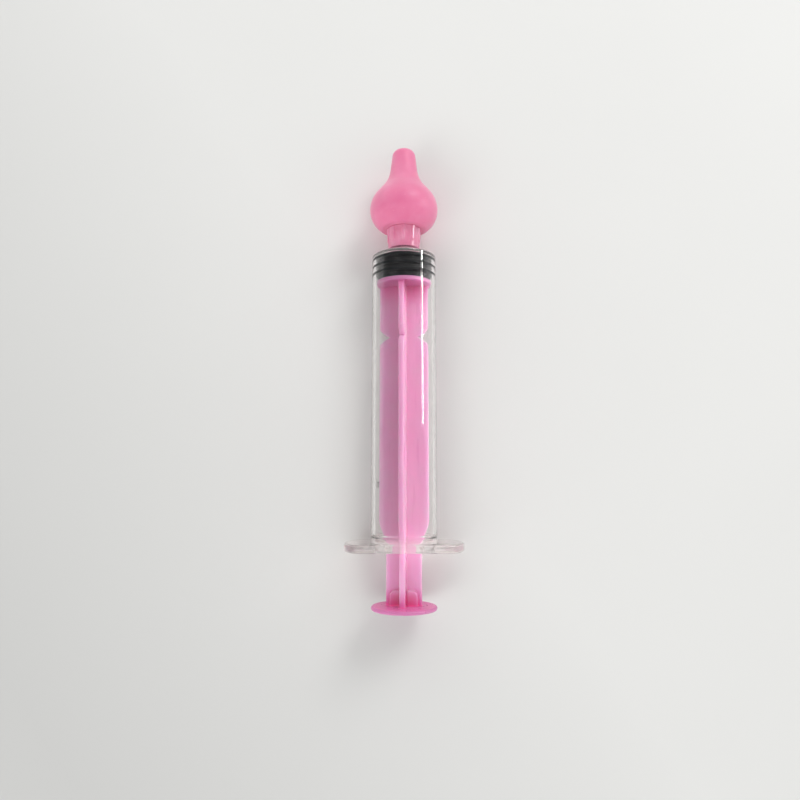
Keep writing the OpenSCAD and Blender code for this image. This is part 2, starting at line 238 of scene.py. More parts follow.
def bumped(material, shader, heights):
    # heights are (socket, depth in millimetres) pairs, each bump feeding the next
    nodes, links = material.node_tree.nodes, material.node_tree.links
    before = None
    for socket, depth in heights:
        bump = nodes.new("ShaderNodeBump")
        bump.inputs["Strength"].default_value = 1
        bump.inputs["Distance"].default_value = depth * millimetre
        links.new(socket, bump.inputs["Height"])
        if before is not None:
            links.new(before, bump.inputs["Normal"])
        before = bump.outputs["Normal"]
    links.new(before, shader.inputs["Normal"])


def alongPart(material, first, last, toFirst, toLast):
    # a number that goes from toFirst to toLast between two stations, and keeps those values outside
    nodes, links = material.node_tree.nodes, material.node_tree.links
    place = nodes.new("ShaderNodeTexCoord")
    split = nodes.new("ShaderNodeSeparateXYZ")
    links.new(place.outputs["Object"], split.inputs["Vector"])
    low, high = (mouthPlace[1] + s * millimetre for s in (first, last))
    return remapped(material, split.outputs["Y"], low, high, toFirst, toLast)


def added(material, first, second):
    # first + second, kept between 0 and 1
    nodes, links = material.node_tree.nodes, material.node_tree.links
    total = nodes.new("ShaderNodeMath")
    total.operation = "ADD"
    total.use_clamp = True
    links.new(first, total.inputs[0])
    links.new(second, total.inputs[1])
    return total.outputs["Value"]


def mixedNumber(material, factor, first, second):
    # first and second are numbers or sockets that give one
    nodes, links = material.node_tree.nodes, material.node_tree.links
    mix = nodes.new("ShaderNodeMix")
    links.new(factor, mix.inputs[0])
    for socket, value in ((mix.inputs[2], first), (mix.inputs[3], second)):
        if isinstance(value, (int, float)):
            socket.default_value = value
        else:
            links.new(value, socket)
    return mix.outputs[0]


clearLook = {
    "tint": (0.99, 0.978, 0.975), "milk": (0.97, 0.92, 0.91), "shadowTint": (0.93, 0.92, 0.91),
    "roughness": (0.012, 0.035), "milkRoughness": 0.08, "hazeShare": 0.12,
    "refraction": 1.49, "milkTransmission": 0.85,
    "flowPitch": 2.2, "flowDepth": 0.0001, "rippleDepth": 0.0003,
    "flangeMilk": (2.2, 4.2), "frontMilk": (76.2, 77.2),  # stations where the milkiness ends and begins
}


def letShadowsThrough(material, shader):
    # shadow rays pass straight on, so the light on what is inside stays free of grain
    nodes, links = material.node_tree.nodes, material.node_tree.links
    rays = nodes.new("ShaderNodeLightPath")
    clear = nodes.new("ShaderNodeBsdfTransparent")
    clear.inputs["Color"].default_value = (*clearLook["shadowTint"], 1)
    mix = nodes.new("ShaderNodeMixShader")
    links.new(rays.outputs["Is Shadow Ray"], mix.inputs["Fac"])
    links.new(shader.outputs["BSDF"], mix.inputs[1])
    links.new(clear.outputs["BSDF"], mix.inputs[2])
    links.new(mix.outputs["Shader"], nodes["Material Output"].inputs["Surface"])


def clearPlastic():
    # clear moulding with faint flow lines along it, milky in the thick flange and the front wall
    material, shader = startMaterial("clearBarrelPlastic", clearLook["tint"], 0.03, {
        "Transmission Weight": 1.0, "IOR": clearLook["refraction"], "Specular IOR Level": 0.5})
    links = material.node_tree.links
    flow = noiseOn(material, clearLook["flowPitch"], 2, (1, 9, 1))
    ripple = noiseOn(material, 9, 1, (1, 2.5, 1))
    haze = noiseOn(material, 3, 4)
    milk = added(material, alongPart(material, *clearLook["flangeMilk"], 1, 0),
                 alongPart(material, *clearLook["frontMilk"], 0, 1))
    share = clearLook["hazeShare"]
    cloudy = added(material, milk, remapped(material, haze, 0.3, 0.7, -share, share))
    rough = remapped(material, haze, 0.35, 0.7, *clearLook["roughness"])
    links.new(mixedNumber(material, milk, rough, clearLook["milkRoughness"]), shader.inputs["Roughness"])
    links.new(mixedNumber(material, cloudy, 1.0, clearLook["milkTransmission"]),
              shader.inputs["Transmission Weight"])
    links.new(mixedColour(material, milk, clearLook["tint"], clearLook["milk"]),
              shader.inputs["Base Color"])
    bumped(material, shader, [(ripple, clearLook["rippleDepth"]), (flow, clearLook["flowDepth"])])
    letShadowsThrough(material, shader)
    return material


rodLook = {
    "pink": (0.87, 0.44, 0.625), "deepPink": (0.83, 0.40, 0.59), "palePink": (0.89, 0.53, 0.70),
    "thickAndShadePink": (0.84, 0.19, 0.43), "discShadePink": (0.44, 0.165, 0.31), "roughness": (0.26, 0.40),
    # stations of the colour masks: at the pads the deeper pink is the thicker plastic, at the head and the
    # thumb disc it is painted shade
    "padThick": (-13.0, -9.0), "discShade": (-13.7, -13.5), "headShade": (63.5, 69.2),  # stations
    "headShadeShare": 0.75, "streakDepth": 0.012, "grainDepth": 0.004,
}


def rodPlastic():
    # light goes deep into the thin pink fins. Flow streaks run along it, and it is deeper in colour where
    # the plastic is thicker, at the pads. Painted shade darkens the fins next to the head, the head itself
    # and the thumb disc
    material, shader = startMaterial("pinkRodPlastic", rodLook["pink"], 0.32, {
        "IOR": 1.49, "Subsurface Weight": 1.0, "Subsurface Scale": 0.005,
        "Subsurface Radius": (1.0, 0.55, 0.78)})
    links = material.node_tree.links
    cloud = noiseOn(material, 6, 3, (1, 3, 1), 0.4)
    streaks = noiseOn(material, 0.9, 3, (1, 14, 1))
    grain = noiseOn(material, 0.22, 2)
    tone = mixedColour(material, remapped(material, cloud, 0.3, 0.7, 0, 1),
                       rodLook["deepPink"], rodLook["pink"])
    tone = mixedColour(material, remapped(material, streaks, 0.5, 0.8, 0, 0.35), tone, rodLook["palePink"])
    # painted shade: from the fins next to the head onwards the colour is pulled towards the deep pink,
    # standing in for the shade there; at the pads the same pink is the thicker plastic
    thickAndShade = added(material, alongPart(material, *rodLook["padThick"], 1, 0),
                  alongPart(material, *rodLook["headShade"], 0, rodLook["headShadeShare"]))
    tone = mixedColour(material, thickAndShade, tone, rodLook["thickAndShadePink"])
    # painted shade: the thumb disc gets a much darker pink, standing in for the shade on it
    disc = alongPart(material, *rodLook["discShade"], 1, 0)
    links.new(mixedColour(material, disc, tone, rodLook["discShadePink"]), shader.inputs["Base Color"])
    links.new(remapped(material, streaks, 0.3, 0.7, *rodLook["roughness"]), shader.inputs["Roughness"])
    bumped(material, shader, [(streaks, rodLook["streakDepth"]), (grain, rodLook["grainDepth"])])
    return material


rubberLook = {
    "black": (0.006, 0.007, 0.009), "bloom": (0.012, 0.014, 0.017), "roughness": (0.4, 0.62),
    "grainDepth": 0.006,
}


def gasketRubber():
    # black rubber with a greyish bloom in patches and a fine grain
    material, shader = startMaterial("blackGasketRubber", rubberLook["black"], 0.45, {
        "IOR": 1.5, "Specular IOR Level": 0.3})
    links = material.node_tree.links
    bloom = noiseOn(material, 1.6, 5, warp=0.5)
    grain = noiseOn(material, 0.12, 2)
    links.new(mixedColour(material, remapped(material, bloom, 0.42, 0.75, 0, 1), rubberLook["black"],
                          rubberLook["bloom"]), shader.inputs["Base Color"])
    links.new(remapped(material, bloom, 0.3, 0.7, *rubberLook["roughness"]), shader.inputs["Roughness"])
    bumped(material, shader, [(grain, rubberLook["grainDepth"])])
    return material


hubLook = {
    "pink": (0.89, 0.36, 0.53), "deepPink": (0.82, 0.25, 0.41), "roughness": (0.16, 0.28),
    "grainDepth": 0.004,
}


def hubPlastic():
    # glossy pink plastic, slightly clouded
    material, shader = startMaterial("pinkHubPlastic", hubLook["pink"], 0.2, {
        "IOR": 1.5, "Subsurface Weight": 0.3, "Subsurface Scale": 0.001,
        "Subsurface Radius": (1.0, 0.4, 0.55)})
    links = material.node_tree.links
    cloud = noiseOn(material, 1.8, 3, (1, 2, 1))
    grain = noiseOn(material, 0.3, 3)
    links.new(mixedColour(material, remapped(material, cloud, 0.3, 0.7, 0, 1), hubLook["deepPink"],
                          hubLook["pink"]), shader.inputs["Base Color"])
    links.new(remapped(material, grain, 0.3, 0.7, *hubLook["roughness"]), shader.inputs["Roughness"])
    bumped(material, shader, [(grain, hubLook["grainDepth"])])
    return material


siliconeLook = {
    "pink": (0.83, 0.235, 0.41), "deepPink": (0.79, 0.185, 0.355), "dust": (0.92, 0.5, 0.62),
    "roughness": (0.34, 0.46), "cloudDepth": 0.03, "grainDepth": 0.008,
}


def tipSilicone():
    # soft matt silicone that light enters, with a fine grain and a few specks of pale dust
    material, shader = startMaterial("softPinkSilicone", siliconeLook["pink"], 0.5, {
        "IOR": 1.41, "Subsurface Weight": 0.4, "Subsurface Scale": 0.0018,
        "Subsurface Radius": (1.0, 0.4, 0.55), "Sheen Weight": 0.3, "Sheen Roughness": 0.45,
        "Sheen Tint": (1, 0.85, 0.9, 1)})
    links = material.node_tree.links
    cloud = noiseOn(material, 5, 3, warp=0.3)
    specks = noiseOn(material, 0.35, 1)
    grain = noiseOn(material, 0.16, 3)
    tone = mixedColour(material, remapped(material, cloud, 0.3, 0.7, 0, 1), siliconeLook["deepPink"],
                       siliconeLook["pink"])
    tone = mixedColour(material, remapped(material, specks, 0.74, 0.80, 0, 0.5), tone, siliconeLook["dust"])
    links.new(tone, shader.inputs["Base Color"])
    links.new(remapped(material, grain, 0.3, 0.7, *siliconeLook["roughness"]), shader.inputs["Roughness"])
    bumped(material, shader, [(cloud, siliconeLook["cloudDepth"]), (grain, siliconeLook["grainDepth"])])
    return material


inkLook = {
    "black": (0.018, 0.018, 0.02), "worn": (0.09, 0.09, 0.095), "roughness": (0.42, 0.65),
    "wearDepth": 0.003,
}


def scaleInk():
    # printed black ink, greyer where it is worn thin
    material, shader = startMaterial("blackScaleInk", inkLook["black"], 0.5)
    links = material.node_tree.links
    worn = noiseOn(material, 0.25, 4)
    links.new(mixedColour(material, remapped(material, worn, 0.55, 0.75, 0, 1), inkLook["black"],
                          inkLook["worn"]), shader.inputs["Base Color"])
    links.new(remapped(material, worn, 0.3, 0.7, *inkLook["roughness"]), shader.inputs["Roughness"])
    bumped(material, shader, [(worn, inkLook["wearDepth"])])
    return material


# Barrel: one closed skin. Its rows run from the mouth out over the flange, along the tube to the
# slip tip and back down inside.
barrelSize = {
    "columns": 432,
    "tubeRadius": 8.5, "boreRadius": 7.55, "tubeEnd": 77.1,
    "flangeRadius": 15.3, "flangeFlat": 9.2, "flangeCorner": 3.5, "flangeThickness": 2.1,
    "flangeEdge": 0.45, "fillet": 0.6,
    "mouthChamfer": 0.4, "beadStation": 3.65, "beadHeight": 0.2, "beadHalfWidth": 0.5,
    "footRadius": 3.7, "footStation": 79.3, "slipFootRadius": 2.2175, "slipEndRadius": 1.985,
    "slipEnd": 87.05, "channelRadius": 1.0, "innerCorner": 76.6, "coneSlope": 0.4583,
}


def flangeReach(angle, inset):
    # distance from the axis to the flange's outline, set in by inset: a circle, two flats, and
    # between them corner arcs met by solving |p + t d| = r along the direction
    size = barrelSize
    outer, flat = size["flangeRadius"] - inset, size["flangeFlat"] - inset
    corner = size["flangeCorner"] - inset
    centreZ = flat - corner
    centreX = math.sqrt((outer - corner) ** 2 - centreZ ** 2)
    c, s = np.abs(np.cos(angle)), np.abs(np.sin(angle))
    along, aside = centreX * c + centreZ * s, centreX * s - centreZ * c
    arc = along + np.sqrt(np.maximum(corner ** 2 - aside ** 2, 0))
    reach = np.where(np.arctan2(s, c) < math.atan2(centreZ, centreX), outer, arc)
    return np.where(flat * c / np.maximum(s, 1e-6) < centreX, flat / np.maximum(s, 1e-6), reach)


def barrelGrid():
    # each row is a radius for every angle and a station: x = r cos(angle), height = r sin(angle). Round
    # the flange's edge its outline is set in by edge * (1 - sin(a)) while a quarter turn a goes by. The
    # tube's rows are circles, and the bead inside the mouth is a raised cosine
    size = barrelSize
    angle = np.linspace(0, 2 * math.pi, size["columns"], endpoint=False)
    tube, thickness, edge = size["tubeRadius"], size["flangeThickness"], size["flangeEdge"]
    quarter = np.radians(np.linspace(0, 90, 6))
    rim = [flangeReach(angle, edge * (1 - math.sin(a))) for a in quarter]
    rows = [(rim[0] - 0.1, 0.0)]
    rows += [(r, edge * (1 - math.cos(a))) for r, a in zip(rim, quarter)]
    rows += [(r, thickness - edge * (1 - math.cos(a))) for r, a in zip(rim[::-1], quarter[::-1])]
    fillet = np.minimum(size["fillet"], 0.8 * (rim[0] - tube))
    rows.append((rim[0] - 0.1 * (rim[0] - tube - fillet), thickness))
    rows += [(tube + fillet * (1 - math.sin(a)), thickness + fillet * (1 - math.cos(a))) for a in quarter]
    wallCentre = size["innerCorner"] + (size["boreRadius"] - size["channelRadius"]) * size["coneSlope"]
    outside = roundedLine([
        (tube, thickness + size["fillet"], 0), (tube, size["tubeEnd"], 0.35),
        (size["footRadius"], size["footStation"], 0.15), (size["slipFootRadius"], size["footStation"], 0.12),
        (size["slipEndRadius"], size["slipEnd"], 0.2), (size["channelRadius"], size["slipEnd"], 0.1),
        (size["channelRadius"], wallCentre, 0.2), (size["boreRadius"], size["innerCorner"], 0.25),
        (size["boreRadius"], size["beadStation"] + size["beadHalfWidth"] + 0.1, 0)])
    beadAt = np.linspace(1, -1, 13)
    bead = np.stack([size["boreRadius"] - size["beadHeight"] * 0.5 * (1 + np.cos(math.pi * beadAt)),
                     size["beadStation"] + size["beadHalfWidth"] * beadAt], -1)
    inside = roundedLine([
        (size["boreRadius"], size["beadStation"] - size["beadHalfWidth"] - 0.1, 0),
        (size["boreRadius"], size["mouthChamfer"], 0.15),
        (size["boreRadius"] + size["mouthChamfer"], 0, 0.08),
        (size["boreRadius"] + size["mouthChamfer"] + 0.35, 0, 0)])
    rows += [(np.full_like(angle, r), s) for r, s in np.concatenate([outside[1:], bead, inside])]
    radius = np.array([r for r, s in rows])
    station = np.array([np.broadcast_to(s, angle.shape) for r, s in rows])
    return inFrame(radius * np.cos(angle), station, radius * np.sin(angle))


barrel = meshFromGrid("clearBarrel", barrelGrid(), clearPlastic(), wrapped=True)
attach(barrel, "barrel")
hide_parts("barrel")
print("barrel made:", len(barrel.data.polygons), "faces")


# Printed scale: thin curved bars and numbers of ink, on the side that faces down.
scaleSize = {
    "innerRadius": 8.488, "outerRadius": 8.532, "lineWidth": 0.3, "zeroStation": 76.45,
    "step": 5.5841 / 5, "steps": 50, "longEvery": 5,  # a fifth of a millilitre, and 10 ml in all
    "start": -5.0, "longSweep": 30.0, "shortSweep": 16.0, "columns": 16,
    "numberSize": 3.1, "numberAt": 27.5, "unitSize": 3.5, "unitAt": 53.3, "unitBeyond": 4.75,
    "letterDepth": 0.5, "letterSlice": 0.35,
}


def onTube(turn, station, radius):
    # x = -r sin(turn) and height = -r cos(turn), turn in degrees from straight down towards the left
    turn = np.radians(turn)
    return inFrame(-radius * np.sin(turn), station, -radius * np.cos(turn))


def scaleBars():
    # bar i lies at zero - i * step: its section is a rectangle carried along an arc of the tube
    size = scaleSize
    i = np.arange(size["steps"] + 1)
    sweep = np.where(i % size["longEvery"] == 0, size["longSweep"], size["shortSweep"])
    turn = size["start"] + sweep[:, None] * np.linspace(0, 1, size["columns"])[None]
    middle = size["zeroStation"] - i * size["step"]
    across = np.array([-0.5, 0.5, 0.5, -0.5]) * size["lineWidth"]
    radius = np.array([size["innerRadius"], size["innerRadius"], size["outerRadius"], size["outerRadius"]])
    points = onTube(turn[:, :, None], middle[:, None, None] + across, radius)
    index = np.arange(points[..., 0].size).reshape(points.shape[:3])
    low, high = index[:, :-1], index[:, 1:]
    sides = np.stack([low, np.roll(low, -1, 2), np.roll(high, -1, 2), high], -1).reshape(-1, 4)
    ends = np.concatenate([index[:, 0, ::-1], index[:, -1]])
    return points.reshape(-1, 3), np.concatenate([sides, ends])


def wrappedText(words, height, turn, station):
    # flat letters cut into narrow upright slices, then bent round the tube: the distance along
    # the line of text over the radius is the turn
    size = scaleSize
    curve = bpy.data.curves.new("letters", "FONT")
    curve.body, curve.size, curve.extrude, curve.resolution_u = words, height, size["letterDepth"], 4
    holder = bpy.data.objects.new("letters", curve)
    bpy.context.scene.collection.objects.link(holder)
    bpy.context.view_layer.update()
    flat = bpy.data.meshes.new_from_object(holder.evaluated_get(bpy.context.evaluated_depsgraph_get()))
    bpy.data.objects.remove(holder)
    shape = bmesh.new()
    shape.from_mesh(flat)
    bmesh.ops.remove_doubles(shape, verts=shape.verts, dist=1e-5)
    for x in np.arange(size["letterSlice"], height * len(words), size["letterSlice"]):
        bmesh.ops.bisect_plane(shape, geom=shape.verts[:] + shape.edges[:] + shape.faces[:],
                               plane_co=(x, 0, 0), plane_no=(1, 0, 0))
    bmesh.ops.triangulate(shape, faces=shape.faces)
    shape.to_mesh(flat)
    shape.free()
    points = np.empty(len(flat.vertices) * 3)
    flat.vertices.foreach_get("co", points)
    faces = np.empty(len(flat.loops), np.int64)
    flat.loops.foreach_get("vertex_index", faces)
    bpy.data.meshes.remove(flat)
    along, up, depth = points.reshape(-1, 3).T
    radius = np.where(depth > 0, size["outerRadius"], size["innerRadius"])
    return onTube(turn + np.degrees(along / size["outerRadius"]), station + up, radius), faces.reshape(-1, 3)


def scaleMesh():
    # the bars, a number beside every long bar, and the unit beyond the last one, all in one mesh
    size = scaleSize
    points, quads = scaleBars()
    allPoints, triangles, count = [points], [], len(points)
    texts = [(str(n), size["numberSize"], size["numberAt"],
              size["zeroStation"] - n * size["longEvery"] * size["step"] - 0.35 * size["numberSize"])
             for n in range(1, size["steps"] // size["longEvery"] + 1)]
    lastLine = size["zeroStation"] - size["steps"] * size["step"]
    texts.append(("ml", size["unitSize"], size["unitAt"], lastLine - size["unitBeyond"]))
    for text in texts:
        more, letterFaces = wrappedText(*text)
        allPoints.append(more)
        triangles.append(letterFaces + count)
        count += len(more)
    faces = [quads, np.concatenate(triangles)]
    return meshFromFaces("printedScale", np.concatenate(allPoints), faces, scaleInk())


scale = scaleMesh()
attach(scale, "barrel")
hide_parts("scale_print")
print("scale made:", len(scale.data.polygons), "faces")


# Gasket: a solid of rubber with three ribs, squeezed against the bore, and a pocket for the rod's button.
gasketSize = {
    "columns": 288, "ribRadius": 7.565, "grooveRadius": 6.77, "ribs": (76.025, 74.025, 72.025),
    "ribCrest": 0.72, "ribRoot": 1.0, "noseRadius": 2.0, "noseSlope": 0.4583,
    "rear": stationOf(gasketLow.y), "rearWall": 1.3,
    "neckHole": 2.86, "pocketRadius": 4.26, "pocketLength": 2.52,
}


def gasketLine():
    # profile from the nose back over the ribs and into the pocket. Each rib is a flat-topped ridge
    # on the groove's radius, and every corner is rounded
    size = gasketSize
    front = size["ribs"][0] + size["ribRoot"] / 2
    nose = front + (size["grooveRadius"] - size["noseRadius"]) * size["noseSlope"]
    corners = [(0.05, nose, 0), (size["noseRadius"], nose, 0.5), (size["grooveRadius"], front, 0.1)]
    for rib in size["ribs"]:
        first = rib + size["ribRoot"] / 2
        if rib != size["ribs"][0]:
            corners.append((size["grooveRadius"], first, 0.18))
        corners += [(size["ribRadius"], rib + size["ribCrest"] / 2, 0.1),
                    (size["ribRadius"], rib - size["ribCrest"] / 2, 0.1),
                    (size["grooveRadius"], rib - size["ribRoot"] / 2, 0.18)]
    pocketStart = size["rear"] + size["rearWall"]
    corners += [
        (size["grooveRadius"], size["rear"], 0.25), (size["neckHole"], size["rear"], 0.15),
        (size["neckHole"], pocketStart, 0.15), (size["pocketRadius"], pocketStart, 0.1),
        (size["pocketRadius"], pocketStart + size["pocketLength"], 0.15),
        (0.05, pocketStart + size["pocketLength"], 0)]
    return roundedLine(corners)


gasket = meshFromGrid("rubberGasket", turnedGrid(gasketLine(), gasketSize["columns"]), gasketRubber())
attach(gasket, "gasket")
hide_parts("gasket")
print("gasket made:", len(gasket.data.polygons), "faces")


# Plunger rod: one skin from the thumb disc through the crossed fins to the button.
rodSize = {
    "roll": 7.0,  # degrees, the upper fin's top leans to the left
    "discRadius": 8.4, "discThickness": 1.0, "finHalf": 0.7, "finEnd": 0.22, "finFillet": 0.35,
    "narrowReach": 4.55, "wideReach": 6.45, "widenFrom": 1.05, "widenTo": 7.85, "rootFillet": 0.4,
    "notchAt": 55.2, "notchDepth": 3.05, "notchHalf": 2.2, "notchBulge": 0.3,
    "notchBlunt": 0.09, "notchSoft": 0.25,
    "padMiddle": 2.15, "padRound": 1.45, "padTop": -9.75, "padProud": 0.8, "padEdge": 0.22,
    "headBack": 69.1, "headFront": 70.1, "headRadius": 7.25, "neckRadius": 2.8,
    "buttonBack": 71.51, "buttonFront": 73.91, "buttonRadius": 4.2, "buttonChamfer": 0.7,
    "discFrom": 5.6, "headFrom": 6.95,  # radii beyond the fins where disc and head take over
    "sidePoints": 30, "endPoints": 5, "filletPoints": 4,
}


def finReach(station):
    # narrow, then a cosine step out to wide. Inside the notch it is a shallow arc on each side that
    # bulges into the notch, softened where it leaves the straight edge
    size = rodSize
    step = np.clip((station - size["widenFrom"]) / (size["widenTo"] - size["widenFrom"]), 0, 1)
    widening = size["wideReach"] - size["narrowReach"]
    reach = size["narrowReach"] + widening * (1 - np.cos(math.pi * step)) / 2
    side = math.hypot(size["notchDepth"], size["notchHalf"])
    bend = side ** 2 / (8 * size["notchBulge"]) + size["notchBulge"] / 2
    inwards = (bend - size["notchBulge"]) / side
    centre = size["wideReach"] - size["notchDepth"] / 2 - inwards * size["notchHalf"]
    below = size["notchHalf"] / 2 + inwards * size["notchDepth"]
    away = np.hypot(station - size["notchAt"], size["notchBlunt"])
    arc = centre + np.sqrt(np.maximum(bend ** 2 - np.minimum(below - away, bend) ** 2, 0))
    outOfReach = 99.0  # well past the notch its arc doesn't count
    arc = np.where(away > size["notchHalf"] * 1.6, outOfReach, arc)
    soft = size["notchSoft"]
    mix = np.clip(0.5 + 0.5 * (arc - reach) / soft, 0, 1)
    return arc * (1 - mix) + reach * mix - soft * mix * (1 - mix)


def finSection(station, swell):
    # outline of the crossed fins at each station, rows x columns x 2. For each of four arms: out
    # along one side, round the end, back along the other side, and a quarter arc into the next arm
    size = rodSize
    station, swell = station[:, None], swell[:, None]
    half, end, fillet = size["finHalf"] + swell, size["finEnd"], size["finFillet"]
    reach = finReach(station) + swell
    along = np.linspace(0, 1, size["sidePoints"])[None]
    out = half + fillet + (reach - end - half - fillet) * along
    turn = np.radians(np.linspace(0, 90, size["endPoints"] + 1))[None, 1:]
    endOut, endAside = reach - end + end * np.sin(turn), half - end + end * np.cos(turn)
    root = np.radians(np.linspace(0, 90, size["filletPoints"] + 2))[None, 1:-1]
    rootOut, rootAside = half + fillet - fillet * np.sin(root), half + fillet - fillet * np.cos(root)
    # the pads: a raised tongue with a round top on both faces of the level fin. Each root arc joins
    # a padded face to a plain one, so only its padded end is moved out
    reachUp = np.maximum(station - (size["padTop"] - size["padRound"]), 0)
    inside = size["padRound"] - np.hypot(np.maximum(out - size["padMiddle"], 0), reachUp)
    pad = size["padProud"] * smoothStep(0.5 + inside / size["padEdge"])
    padRoot = size["padProud"] * smoothStep(0.5 + (size["padRound"] - reachUp) / size["padEdge"])
    arms = []
    for arm in range(4):
        padded = arm % 2 == 0
        face = half + (pad if padded else 0 * pad)
        arcOut = rootOut + (0 if padded else padRoot * np.sin(root))
        arcAside = rootAside + (padRoot * np.cos(root) if padded else 0)
        outwards = np.concatenate([out, endOut, endOut[:, ::-1][:, 1:], reach - end,
                                   out[:, ::-1][:, 1:], arcOut], 1)
        aside = np.concatenate([-face, -endAside, endAside[:, ::-1][:, 1:], half,
                                face[:, ::-1][:, 1:], arcAside], 1)
        direction = math.radians(90 * arm + size["roll"])
        arms.append(np.stack([outwards * math.cos(direction) - aside * math.sin(direction),
                              outwards * math.sin(direction) + aside * math.cos(direction)], -1))
    return np.concatenate(arms, 1)


def rodGrid():
    # rings turned from the disc's profile, then the fins' outline at every station, then rings from
    # the head's profile. Near both ends the fins swell by fillet * (1 - sqrt(1 - (1 - d)^2)), d being
    # the distance over the fillet. The rings use the fin outline's angles, so rows join point to point
    size = rodSize
    top, bottom = size["headBack"], stationOf(rodLow.y) + size["discThickness"]
    # rows stand close together at the pads, the widening and the notch, and far apart where it is straight
    filletAt = size["rootFillet"] * np.array([0, 0.04, 0.12, 0.25, 0.45, 0.7, 1])
    stations = np.concatenate([
        bottom + filletAt, np.linspace(bottom + 0.6, size["padTop"] + 0.35, 34),
        np.linspace(-8.5, 0.5, 4), np.linspace(size["widenFrom"], size["widenTo"], 22),
        np.linspace(10, 50, 9), np.linspace(size["notchAt"] - 3.4, size["notchAt"] + 3.4, 69),
        np.linspace(61, 67, 3), (top - filletAt)[::-1]])
    near = np.minimum(stations - bottom, top - stations) / size["rootFillet"]
    swell = size["rootFillet"] * (1 - np.sqrt(1 - (1 - np.clip(near, 0, 1)) ** 2))
    section = finSection(stations, swell)
    fins = inFrame(section[..., 0], stations[:, None], section[..., 1])
    plain = finSection(np.array([0.0]), np.array([0.0]))[0]
    angle = np.arctan2(plain[:, 1], plain[:, 0])

    def rings(line):
        # r (cos, sin) at those angles for every point of the profile
        radius, station = line[:, :1], line[:, 1:]
        return inFrame(radius * np.cos(angle), station, radius * np.sin(angle))

    edge = 0.98 * size["discThickness"] / 2  # short of half, so that the two roundings don't meet
    discBack = bottom - size["discThickness"]
    disc = roundedLine([(0.05, discBack, 0), (size["discRadius"], discBack, edge),
                        (size["discRadius"], bottom, edge), (size["discFrom"], bottom, 0)], 7)
    head = roundedLine([
        (size["headFrom"], top, 0), (size["headRadius"], top, 0.3),
        (size["headRadius"], size["headFront"], 0.15),
        (size["neckRadius"], size["headFront"], 0.3), (size["neckRadius"], size["buttonBack"], 0.1),
        (size["buttonRadius"], size["buttonBack"], 0.15),
        (size["buttonRadius"], size["buttonFront"] - size["buttonChamfer"], 0.2),
        (size["buttonRadius"] - size["buttonChamfer"], size["buttonFront"], 0.2),
        (0.05, size["buttonFront"], 0)])
    return np.concatenate([rings(disc), fins, rings(head)])


rod = meshFromGrid("plungerRod", rodGrid(), rodPlastic())
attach(rod, "rod")
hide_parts("plunger_rod")
print("rod made:", len(rod.data.polygons), "faces")


# Nozzle hub: a ribbed collar with a tapered socket inside and a stem for the soft tip.
hubSize = {
    "columns": 480, "mouth": stationOf(hubLow.y), "length": 5.6, "mouthRadius": 4.2, "topRadius": 4.45,
    "skirtWall": 0.75, "mouthEdge": 0.14, "topEdge": 0.16,
    "ribs": 10, "ribWidth": 0.9, "ribHeight": 0.22, "ribSoft": 0.3, "ribFade": 0.7, "band": 1.4, "turn": 3.0,
    "web": 1.2, "socketMouth": 82.38, "socketRadius": 2.145, "socketWall": 0.8, "socketEnd": 87.55,
    "socketEndRadius": 1.99, "channelRadius": 1.0, "stemRadius": 3.05, "stemTop": stationOf(hubHigh.y),
    "snapAt": 86.72, "snapRadius": 3.65, "snapLength": 0.9, "snapChamfer": 0.45,
}


